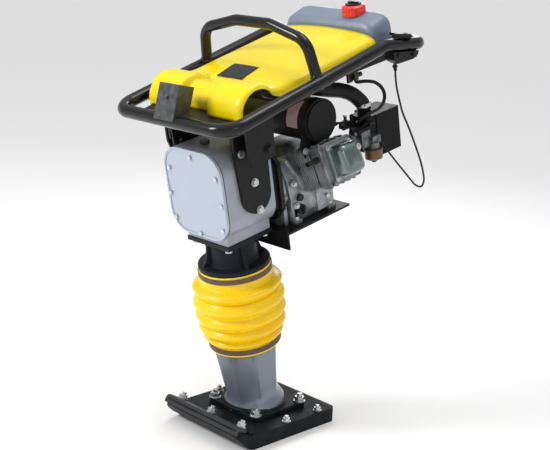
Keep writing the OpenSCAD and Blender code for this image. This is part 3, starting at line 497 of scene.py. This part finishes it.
# ---------------------------------------------------------------- fuel tank
def tank():
    """Blow-moulded tank: a rounded block whose top steps down towards the hood."""
    bm = bmesh.new()
    side = [(404, 900), (404, 952), (412, 967), (464, 979), (480, 970), (484, 900)]
    prof = rounded_path([(0, y, s) for y, s in side], 14, 6)
    stations = [(-150, 0.84), (-149, 0.9), (-146, 0.95), (-141, 0.98), (-132, 1.0), (-112, 1.0),
                (112, 1.0), (132, 1.0), (141, 0.98), (146, 0.95), (149, 0.9), (150, 0.84)]
    rows = []
    for x, grow in stations:
        lean_in = max(0.0, (abs(x) - 112)/38)
        row = []
        for p in prof:
            y = 445 + (p.y - 445)*grow
            s = 900 + (p.z - 900)*grow - 12*lean_in**2*(p.z > 930)
            row.append(bm.verts.new((x, y, s)))
        rows.append(row)
    for a, b in zip(rows, rows[1:]):
        for k in range(len(a) - 1):
            bm.faces.new((a[k], b[k], b[k + 1], a[k + 1]))
    for row in (rows[0], rows[-1]):
        bm.faces.new(row)
    low, high = [r[0] for r in rows], [r[-1] for r in rows]
    bm.faces.new(low + high[::-1])
    body = finish_mesh(bm, "tank_body", "tank_blue_grey", "handle", ["fuel_tank"], sharp=30, bevel=4)
    # Black rounded box under the hood and the tank, with two tabs out to the rails: its black is painted shade,
    # standing in for the tank's shadowed underside.
    bm = bmesh.new()
    rounded_box(bm, (-150, 300, 862), (150, 462, 901), 12)
    for k in (-1, 1):
        add_box(bm, min(k*148, k*187), max(k*148, k*187), 424, 446, rear_s(435) - 2, rear_s(435) + 2)
    painted_shade_box = finish_mesh(bm, "tank_underside_painted_shade", "cap_black", "handle", bevel=3)
    bm = bmesh.new()
    add_turned(bm, (60, 445, 966), (60, 445, 967), [(0, 30), (3, 27), (5.5, 25), (6, 20)], 36)
    neck = finish_mesh(bm, "tank_neck", "tank_blue_grey", "handle")
    return body, painted_shade_box, neck


def filler_cap():
    """Red fluted cap with a black top."""
    bm = bmesh.new()
    outline = []
    for k in range(96):
        a = 2*math.pi*k/96
        r = 29.2 + 0.8*math.cos(24*a)
        outline.append((r*math.cos(a), r*math.sin(a)))
    spot = Matrix.Translation((60, 445, 0))
    add_prism(bm, outline, 972.5, 994, "s", spot)
    add_turned(bm, (0, 0, 994), (0, 0, 995), [(0, 29), (3, 26), (4, 22)], 40, spot)
    red = finish_mesh(bm, "cap_skirt", "cap_red", "cap", ["tank_cap"], bevel=0.5)
    bm = bmesh.new()
    add_turned(bm, (0, 0, 998), (0, 0, 999), [(0, 21), (3, 20.5), (4, 18)], 40, spot)
    rounded_box(bm, (-17, -4, 1002), (17, 4, 1006), 3.8, spot)
    top = finish_mesh(bm, "cap_top", "cap_black", "cap", bevel=0.8)
    return red, top


# ---------------------------------------------------------------- leg and shoe
FLANGE_HALF, FLANGE_LO, FLANGE_HI = 91, 38, 52


def leg():
    """Painted leg casting: eight flats that melt into a round skirt at the bottom."""
    bm = bmesh.new()
    stations = [(44, 78, 1), (58, 79.5, 1), (63, 79.5, 1), (66, 77.5, 1), (71, 75.5, 1), (78, 71.5, 0.95),
                (86, 68.5, 0.75), (94, 67, 0.45), (104, 66.8, 0.15), (116, 67.6, 0), (160, 71.8, 0),
                (200, 76.4, 0), (222, 79, 0), (230, 83, 0.4), (234, 87.5, 1), (250, 88, 1)]
    n = 96
    rings = []
    for s, r, roundness in stations:
        ring = []
        for k in range(n):
            a = 2*math.pi*k/n
            off = (a + math.pi/8) % (math.pi/4) - math.pi/8
            flat = min(1/math.cos(off), 1.079)
            rad = r*(flat*(1 - roundness)*0.975 + roundness)
            ring.append(bm.verts.new((rad*math.cos(a), rad*math.sin(a), s)))
        rings.append(ring)
    for a, b in zip(rings, rings[1:]):
        for k in range(n):
            bm.faces.new((a[k], a[(k + 1) % n], b[(k + 1) % n], b[k]))
    bm.faces.new(rings[0][::-1])
    bm.faces.new(rings[-1])
    casting = finish_mesh(bm, "leg_body", "leg_grey", "foot", ["leg_casting"], sharp=17)
    bm = bmesh.new()
    rounded_box(bm, (-FLANGE_HALF, FOOT_Y - FLANGE_HALF, FLANGE_LO),
                (FLANGE_HALF, FOOT_Y + FLANGE_HALF, FLANGE_HI), 12)
    collar_y = FOOT_Y - 12
    add_turned(bm, (0, collar_y, FLANGE_HI - 1), (0, collar_y, FLANGE_HI), [(0, 86), (3, 84), (7, 79)], 64)
    flange = finish_mesh(bm, "leg_flange", "shoe_black", "foot", place=UPRIGHT, bevel=2)
    return casting, flange



SHOE_HALF, SHOE_FRONT, SHOE_BACK, SHOE_TOP = 142.5, -172.5, 172.5, 38
TOE_Y, TOE_LIFT, TOE_TOP_LIFT = -107.5, 45, 27
TOE_BOLT_Y = -141.5


def toe_rise(y, lift):
    """How far the shoe's top or underside has risen at y, given its rise at the tip."""
    return lift*max(0.0, (TOE_Y - y)/(TOE_Y - SHOE_FRONT))**2


def shoe():
    """Moulded shoe: a slab with rounded corners whose front curls up and thins to the toe."""
    bm = bmesh.new()
    corner = 17
    ends = [0, 0.6, 2, 4.5, 8, 12, corner]
    ys = ([SHOE_FRONT + e for e in ends] + [-148, -140, -132, -124, -116, TOE_Y, 0]
          + [SHOE_BACK - e for e in ends[::-1]])
    rings = []
    for y in ys:
        gap = min(y - SHOE_FRONT, SHOE_BACK - y, corner)
        half = SHOE_HALF - corner + math.sqrt(max(0.0, corner**2 - (corner - gap)**2))
        low, high = 0.3 + toe_rise(y, TOE_LIFT), SHOE_TOP + toe_rise(y, TOE_TOP_LIFT)
        rings.append([bm.verts.new((half*a, y, b)) for a, b in ((-1, low), (1, low), (1, high), (-1, high))])
    for a, b in zip(rings, rings[1:]):
        for k in range(4):
            bm.faces.new((a[k], a[(k + 1) % 4], b[(k + 1) % 4], b[k]))
    bm.faces.new(rings[0][::-1])
    bm.faces.new(rings[-1])
    tilt = math.atan(2*TOE_TOP_LIFT*(TOE_Y - TOE_BOLT_Y)/(TOE_Y - SHOE_FRONT)**2)
    spot = (Matrix.Translation((0, TOE_BOLT_Y, SHOE_TOP + toe_rise(TOE_BOLT_Y, TOE_TOP_LIFT)))
            @ Matrix.Rotation(-tilt, 4, "X"))
    for x0, x1 in ((-137, -120), (-106, -7), (7, 106), (120, 137)):
        add_prism(bm, [(9, -6), (9, 6), (11, 8), (22, 8), (26, 4), (34, -6)], x0, x1, "x", spot)
    body = finish_mesh(bm, "shoe_body", "shoe_black", "foot", ["shoe_core", "sole_plate"], UPRIGHT, 2.0,
                       sharp=30)
    bm = bmesh.new()
    roll = [(-4, 3.6), (-4, 9), (-6, 12), (-24, 13), (-29, 11.5), (-33, 6), (-34, 0), (-34, -6), (-32, -9),
            (-30.5, -7), (-30, 2), (-26, 4)]
    rounded = [(p.y, p.z) for p in rounded_path([(0, y, z) for y, z in roll], 2.4, 3, closed=True)]
    add_prism(bm, rounded, -139, 139, "x", spot)
    for x in (-113, 0, 113):
        add_prism(bm, [(-6, 4), (-6, 12), (7, 12), (9, 4)], x - 11, x + 11, "x", spot)
    bar = finish_mesh(bm, "toe_strip", "bar_black", "foot", ["toe_bar"], UPRIGHT, 0.8, sharp=50)
    return body, bar


def guide():
    """Guide casting over the bellows: a wide plate, a waist and four flaring webs."""
    bm = bmesh.new()
    plate_and_waist = [(0, 88), (20, 88), (20.5, 89), (22, 90.8), (29, 90.8), (32, 89.4), (32.4, 64),
                       (40, 61.5), (56, 60.5), (95, 60.5), (95, 55.5), (0, 55.5)]
    add_turned(bm, (0, 0, 430), (0, 0, 431), plate_and_waist, 96, hollow=True)
    for k in range(4):
        turn = Matrix.Rotation(math.radians(-18 + 90*k), 4, "Z")
        web = [(56, 461), (83, 461), (82, 465), (75, 476), (70.5, 490), (68, 508), (67, 525), (56, 525)]
        add_prism(bm, web, -4.5, 4.5, "y", turn)
        add_prism(bm, [(56, 461), (66, 461), (62, 470), (56, 474)], -13, 13, "y", turn)
    add_prism(bm, [(-76, -74), (76, -74), (76, 71), (-76, 71)], 524, 536, "s")
    return finish_mesh(bm, "guide_body", "guide_slate", "upper", ["guide_cylinder"], bevel=1.6, sharp=40)


# ---------------------------------------------------------------- bellows
def bellows():
    """Yellow corrugated skin, clamped to the guide above and the leg below."""
    lo, hi = 232, 450
    bm = bmesh.new()
    folds = [(264, 101.5), (292, 110.5), (325, 115), (361, 116.5), (402, 113)]
    outline = [(lo, 89), (lo, 91), (lo + 17, 91.2)]
    prev_s = lo + 20
    for i, (s, r) in enumerate(folds):
        nxt = folds[i + 1][0] if i + 1 < len(folds) else hi - 20
        up, down = (s - prev_s), ((nxt - s)/2)
        for span, at, low_r in ((up, prev_s, (r if i else 100) - 11),
                                (-down, s + down, (r if i < len(folds) - 1 else 102) - 11)):
            rise = [(at + span*j/10, low_r + (r - low_r)*math.sin(j*math.pi/20)**1.4) for j in range(11)]
            outline += rise[:-1] if span > 0 else rise[:0:-1]
        prev_s = s + down
    outline += [(hi - 17, 91.2), (hi, 91), (hi, 89)]
    outer = [(s - lo, r) for s, r in outline]
    n = 96
    rings = [[bm.verts.new((r*math.cos(2*math.pi*k/n), r*math.sin(2*math.pi*k/n), s + lo)) for k in range(n)]
             for s, r in outer]
    for a, b in zip(rings, rings[1:]):
        for k in range(n):
            bm.faces.new((a[k], a[(k + 1) % n], b[(k + 1) % n], b[k]))
    obj = finish_mesh(bm, "bellows_skin", "bellows_yellow", "upper", ["bellows"], sharp=60)
    obj.parent = None
    wall = obj.modifiers.new("wall", "SOLIDIFY")
    wall.thickness = 2.4*MM
    wall.offset = -1
    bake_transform(obj)
    return obj


# ---------------------------------------------------------------- hoses and cable
def hoses():
    """Intake hose with its clip, and the fuel line."""
    intake = [(60, 120, 868), (80, 122, 868), (96, 140, 864), (100, 180, 856), (98, 226, 849), (98, 257, 838),
              (102, 290, 826), (108, 322, 816), (117, 350, 800), (124, 368, 780), (127, 377, 766),
              (127, 378, 757)]
    bm = bmesh.new()
    add_tube(bm, smooth_path(intake, 4), 18.8, 28)
    hose = finish_mesh(bm, "intake_tube", "hose_black", "upper", ["intake_hose"])
    hose.parent = None
    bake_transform(hose)
    bm = bmesh.new()
    add_turned(bm, (127, 377.6, 763), (127, 377, 773), [(0, 20), (0.4, 21), (9.6, 21), (10, 20)], 40)
    add_rod(bm, (140, 368, 768), (152, 360, 768), 4, 10)
    clip = finish_mesh(bm, "hose_clip", "zinc", "upper", bevel=0.4)
    fuel = [(114, 372, 829), (115, 376, 823), (122, 398, 820), (128, 426, 810), (132, 446, 790),
            (136, 449, 770), (142, 436, 757), (150, 412, 752), (155, 388, 751), (157, 364, 751),
            (152, 350, 746), (145, 342, 737), (140, 338, 727), (139, 337, 718.3)]
    bm = bmesh.new()
    add_tube(bm, smooth_path(fuel, 5), 4.5, 16)
    line = finish_mesh(bm, "fuel_line", "hose_black", "upper", ["fuel_hose"])
    line.parent = None
    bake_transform(line)
    return hose, clip, line


CABLE = [(190, 436, 845), (190, 435, 832), (190, 435, 818), (191, 436, 795), (193, 440, 765), (194, 446, 735),
         (197, 458, 700), (199, 470, 664), (201, 482, 625), (202, 493, 588), (200, 502, 554), (196, 507, 530),
         (189, 503, 514), (183, 488, 522), (179, 474, 542), (175, 455, 571), (171, 432, 605), (167, 408, 642),
         (165, 392, 668), (164, 381, 682), (164, 375, 689)]


def cable():
    """Throttle cable, hanging in a loop from the lever's housing to the carburettor."""
    route = smooth_path(CABLE, 5)
    bm = bmesh.new()
    add_tube(bm, route, 2.5, 12)
    obj = finish_mesh(bm, "throttle_wire", "hose_black", "handle", ["throttle_cable"])
    return obj


# ---------------------------------------------------------------- engine dressing
def crankcase_casting():
    """Crankcase casting: round front, square shoulders, feet on the deck and bolt bosses."""
    bm = bmesh.new()
    body = [(-84, 528), (94, 528), (100, 536), (100, 592), (92, 640), (64, 694), (30, 708), (-34, 706),
            (-74, 684), (-90, 640), (-90, 560)]
    add_prism(bm, body, 122, 268, "y")
    add_turned(bm, (0, 116, SHAFT_S), (0, 117, SHAFT_S), [(0, 84), (3, 86), (20, 84)], 64)
    add_prism(bm, [(-54, 50), (54, 50), (54, 86), (-54, 86)], 170, 268, "y", CYL)
    for y in (134, 252):
        add_box(bm, 58, 108, y - 12, y + 12, 528, 539)
        add_box(bm, 88, 100, y - 5, y + 5, 538, 566)
    add_turned(bm, (78, 150, 592), (79, 150, 592), [(0, 12), (21, 12), (22, 11)], 28)
    for y, s in ((136, 632), (136, 574), (212, 640), (255, 604)):
        add_turned(bm, (84, y, s), (85, y, s), [(0, 10), (17, 10), (19, 8.5)], 24)
    rounded_box(bm, (94, 206, 536), (105, 264, 598), 5)
    add_prism(bm, [(118, 694), (125, 697), (178, 612), (170, 606)], 62, 99, "x")
    add_prism(bm, [(-60, 600), (60, 600), (84, 640), (60, 690), (-60, 690)], 116, 176, "y")
    return finish_mesh(bm, "case_casting", "engine_cast", "upper", ["crankcase"], bevel=2.6)


def crankcase_bolts():
    """Bolts of the crankcase and its feet."""
    bm = bmesh.new()
    for y, s in ((136, 632), (136, 574), (212, 640), (255, 604)):
        add_bolt(bm, (103, y, s), (1, 0, 0), 3.6, 5, 1.2)
    for y in (134, 252):
        add_bolt(bm, (100, y, 539), (0, 0, 1), 4.2, 6, 1.6)
    add_turned(bm, (100, 240, 566), (101, 240, 566), [(0, 11), (4, 11), (4.2, 7), (10, 7)], 6)
    return finish_mesh(bm, "case_bolts", "zinc", "upper", bevel=0.4)


def oil_plugs():
    """Oil filler and drain plug."""
    bm = bmesh.new()
    add_turned(bm, (100, 152, 560), (101, 152, 560), [(0, 13), (6, 13), (7, 11)], 18)
    add_box(bm, 106, 113, 149, 155, 551, 569)
    add_turned(bm, (88, 240, 566), (89, 240, 566), [(0, 12), (12, 12)], 20)
    return finish_mesh(bm, "oil_plugs", "cap_black", "upper", ["oil_caps"], bevel=0.8)


def cylinder_fins():
    """Cooling fins on the barrel and the head, thinner and closer than the frame's."""
    bm = bmesh.new()
    for i in range(9):
        d = 88 + i*6.3
        grow = 2*math.sin(i*0.7)
        rounded = arc2(46 + grow, 280, 8, 0, 90, 3) + arc2(-46 - grow, 280, 8, 90, 180, 3)
        rounded += arc2(-46 - grow, 184, 8, 180, 270, 3) + arc2(46 + grow, 184, 8, 270, 360, 3)
        add_prism(bm, rounded, d, d + 2.2, "s", CYL)
    add_turned(bm, (0, 231, 86), (0, 231, 87), [(0, 42), (62, 42)], 40, CYL)
    rounded_box(bm, (-52, 178, 146), (52, 288, 180), 10, CYL)
    for i in range(5):
        add_box(bm, -56, -50, 184 + 20*i, 187 + 20*i, 148, 178, CYL)
        add_box(bm, 50, 56, 184 + 20*i, 187 + 20*i, 148, 178, CYL)
    for x in (-44, 44):
        for y in (186, 280):
            add_turned(bm, (x, y, 140), (x, y, 141), [(0, 8), (40, 8)], 20, CYL)
    return finish_mesh(bm, "cylinder_fins", "engine_cast", "upper", ["cylinder_block"], bevel=0.8)


def rocker_cover():
    """Pressed rocker cover with a polished flange and four bolts."""
    bm = bmesh.new()
    rings = []
    for d, inset in ((180, 0), (185, 0), (186, 3), (188, 6), (214, 7), (222, 10), (227, 16), (230, 26)):
        r = max(6.0, 16 - inset*0.3)
        x, y0, y1 = 46 - inset, 196 + inset, 278 - inset
        loop = (arc2(x - r, y0 + r, r, -90, 0, 6) + arc2(x - r, y1 - r, r, 0, 90, 6)
                + arc2(-x + r, y1 - r, r, 90, 180, 6) + arc2(-x + r, y0 + r, r, 180, 270, 6))
        rings.append([bm.verts.new(CYL @ Vector((px, py, d))) for px, py in loop])
    for a, b in zip(rings, rings[1:]):
        for k in range(len(a)):
            bm.faces.new((a[k], a[(k + 1) % len(a)], b[(k + 1) % len(a)], b[k]))
    bm.faces.new(rings[-1])
    bm.faces.new(rings[0][::-1])
    cover = finish_mesh(bm, "rocker_cover", "valve_steel", "upper", ["valve_cover"], sharp=50)
    bm = bmesh.new()
    for x in (-38, 38):
        for y in (203, 271):
            add_bolt(bm, (x, y, 185), (0, 0, 1), 3.6, 6, 1.4, turn=CYL)
    add_turned(bm, (-20, 256, 228), (-20, 256, 229), [(0, 8), (6, 8), (7, 6)], 24, CYL)
    bolts = finish_mesh(bm, "rocker_bolts", "zinc", "upper", bevel=0.3)
    return cover, bolts



def carburettor_dressing():
    """Throttle and choke linkage, a spring and the float bowl around the carburettor."""
    bm = bmesh.new()
    add_rod(bm, (120, 286, 744), (122, 392, 717), 3, 12)
    add_rod(bm, (124, 300, 735), (150, 322, 716), 2.2, 10)
    add_rod(bm, (118, 318, 752), (118, 318, 724), 4, 12)
    add_rod(bm, (112, 346, 748), (128, 350, 720), 3.4, 12)
    add_prism(bm, [(298, 724), (330, 720), (334, 736), (318, 742), (300, 738)], 112, 118, "x")
    add_prism(bm, [(334, 716), (364, 712), (366, 728), (352, 742), (336, 734)], 118, 126, "x")
    add_prism(bm, [(306, 716), (352, 708), (352, 720), (306, 728)], 140, 150, "x")
    add_prism(bm, [(300, 700), (340, 696), (346, 722), (304, 726)], 150, 154, "x")
    coil = [(126 + 5*math.cos(k*0.9), 296 + k*0.55, 727 + 5*math.sin(k*0.9)) for k in range(70)]
    add_tube(bm, coil, 1.3, 8)
    breather = [(116, 292, 742), (108, 280, 734), (100, 272, 716), (94, 268, 700), (92, 262, 690)]
    add_tube(bm, smooth_path(breather, 5), 4, 14)
    vent = [(152, 338, 722), (160, 356, 730), (158, 376, 722), (150, 388, 706)]
    add_tube(bm, smooth_path(vent, 5), 3.2, 14)
    linkage = finish_mesh(bm, "carb_linkage", "cap_black", "upper", bevel=0.4)
    bm = bmesh.new()
    bowl_profile = [(0, 9), (1, 12), (3, 13), (4, 20), (8, 22.6), (26, 23), (28, 24.5), (31, 24.5)]
    add_turned(bm, (170, 354, 635), (170, 354, 636), bowl_profile, 36)
    add_turned(bm, (170, 354, 629), (170, 354, 630), [(0, 6), (6, 6)], 6)
    bowl = finish_mesh(bm, "float_bowl", "bowl_bronze", "upper", bevel=0.6)
    bm = bmesh.new()
    for at, out in (((154, 314, 712), (1, 0, 0)), ((154, 334, 706), (1, 0, 0)), ((118, 318, 752), (0, 0, 1)),
                    ((126, 352, 727), (1, 0, 0)), ((118, 308, 731), (1, 0, 0))):
        add_bolt(bm, at, out, 2.6, 3, 1)
    screws = finish_mesh(bm, "carb_screws", "zinc", "upper", bevel=0.3)
    return linkage, bowl, screws


def muffler_bracket():
    """Strap that carries the silencer, with its two nuts."""
    bm = bmesh.new()
    strap_shape = [(164, 720), (176, 748), (216, 752), (232, 700), (228, 676), (204, 662), (176, 684)]
    add_prism(bm, strap_shape, 106, 111, "x")
    add_prism(bm, [(184, 744), (214, 744), (214, 730), (184, 730)], 84, 111, "x")
    add_prism(bm, [(190, 700), (214, 694), (210, 678), (194, 684)], 70, 106, "x")
    strap = finish_mesh(bm, "muffler_strap", "muffler_black", "upper", bevel=1.2)
    bm = bmesh.new()
    for y, z in ((178, 704), (220, 687)):
        add_bolt(bm, (111, y, z), (1, 0, 0), 4.2, 6, 1.4)
    nuts = finish_mesh(bm, "strap_nuts", "zinc", "upper", bevel=0.4)
    return strap, nuts


for make in (shoe, leg, guide, frame_tube, throttle_box, throttle_handle, hoop, nose_bracket, hood,
             hood_plate, tank, filler_cap, bellows, hoses, cable, crankcase_casting, crankcase_bolts, oil_plugs,
             cylinder_fins, rocker_cover, carburettor_dressing, muffler_bracket):
    make()

# ---------------------------------------------------------------- camera, light and floor
camera_data = bpy.data.cameras.new("camera")
camera = bpy.data.objects.new("camera", camera_data)
bpy.context.collection.objects.link(camera)
bpy.context.scene.camera = camera
azimuth, elevation, roll = math.radians(45.6), math.radians(14.1), math.radians(-2.5)
back = Vector((math.sin(azimuth)*math.cos(elevation), -math.cos(azimuth)*math.cos(elevation),
               math.sin(elevation)))
right = Vector((math.cos(azimuth), math.sin(azimuth), 0))
above = back.cross(right)
turned = Matrix((right*math.cos(roll) - above*math.sin(roll),
                 right*math.sin(roll) + above*math.cos(roll), back))
target = Vector((0.0259, 0.0348, 0.525))
distance = 2.8906
camera.matrix_world = Matrix.Translation(target + back*distance) @ turned.transposed().to_4x4()
camera_data.sensor_width = 36
camera_data.lens = 75.4
camera_data.clip_start = 0.05


def light(name, size, power, where, at=(0, 0.05, 0.55)):
    """A square area light aimed at the machine."""
    data = bpy.data.lights.new(name, "AREA")
    data.energy = power
    data.shape = "RECTANGLE"
    data.size, data.size_y = size, size
    obj = bpy.data.objects.new(name, data)
    bpy.context.collection.objects.link(obj)
    obj.location = where
    obj.rotation_euler = (Vector(at) - Vector(where)).to_track_quat("-Z", "Y").to_euler()
    return obj


light("key", 0.8, 58, (-1.3, -2.4, 2.3))
light("side", 0.7, 5, (2.6, -1.4, 1.5))
light("overhead", 1.0, 16, (0.5, 0.3, 3.0))
light("rim", 0.9, 12, (-1.6, 2.2, 1.9))
bpy.context.scene.view_settings.view_transform = "Standard"
world_bg = bpy.data.worlds.new("studio")
bpy.context.scene.world = world_bg
world_bg.use_nodes = True
sky, sky_links = world_bg.node_tree.nodes, world_bg.node_tree.links
facing = sky.new("ShaderNodeTexCoord")
height = sky.new("ShaderNodeSeparateXYZ")
sky_links.new(facing.outputs["Generated"], height.inputs["Vector"])
fade = sky.new("ShaderNodeValToRGB")
for at, level in ((0.0, 0.77), (0.1, 0.77), (0.2, 0.3), (0.55, 0.36), (1.0, 0.8)):
    stop = fade.color_ramp.elements[0] if at == 0.0 else fade.color_ramp.elements.new(at)
    stop.color = (level, level, level, 1)
fade.color_ramp.elements.remove(fade.color_ramp.elements[-1])
sky_links.new(height.outputs["Z"], fade.inputs["Fac"])
sky_links.new(fade.outputs["Color"], sky["Background"].inputs["Color"])
sky["Background"].inputs["Strength"].default_value = 1.3

floor_mesh = bpy.data.meshes.new("floor")
floor_mesh.from_pydata([(-30, -30, 0), (30, -30, 0), (30, 30, 0), (-30, 30, 0)], [], [(0, 1, 2, 3)])
floor = bpy.data.objects.new("floor", floor_mesh)
bpy.context.collection.objects.link(floor)
pale = bpy.data.materials.new("pale floor")
pale.use_nodes = True
pale.node_tree.nodes["Principled BSDF"].inputs["Base Color"].default_value = (0.94, 0.94, 0.94, 1)
pale.node_tree.nodes["Principled BSDF"].inputs["Roughness"].default_value = 0.8
floor_mesh.materials.append(pale)
